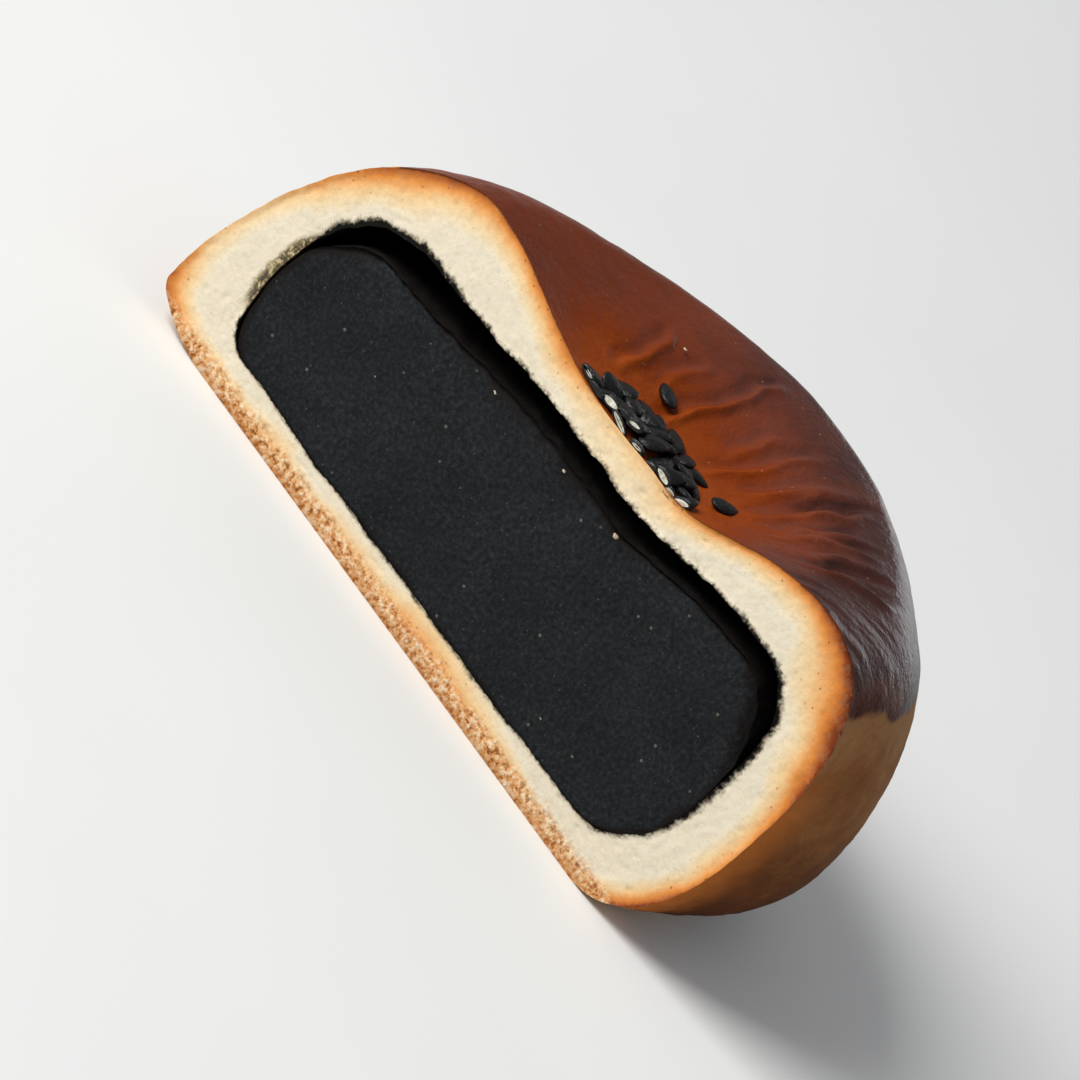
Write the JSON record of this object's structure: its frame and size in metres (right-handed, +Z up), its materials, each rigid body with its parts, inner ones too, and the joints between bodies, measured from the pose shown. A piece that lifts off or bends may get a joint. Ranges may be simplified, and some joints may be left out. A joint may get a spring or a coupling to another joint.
{
  "type": "halved filled sweet bun",
  "caption": "Half of a round glazed sweet bun, cut through its sunken top, with a thick bread wall round a block of black paste and black sesame seeds in the dimple.",
  "frame": {"origin": "on the table, under the middle of the half bun's bounding box", "axes": "+Z up from the flat base to the dimpled top, +X along the cut face towards its square-shouldered end, -Y out of the cut face"},
  "size_m": [0.0802, 0.04, 0.0363],
  "materials": {
    "bread": "baked glazed crust, satin on the sunken top and matt tan below, with cream crumb at the cut",
    "paste": "matt black sweet paste with a fine grain"
  },
  "bodies": {
    "root": {"bread": "bread", "filling": "paste"}
  },
  "joints": []
}
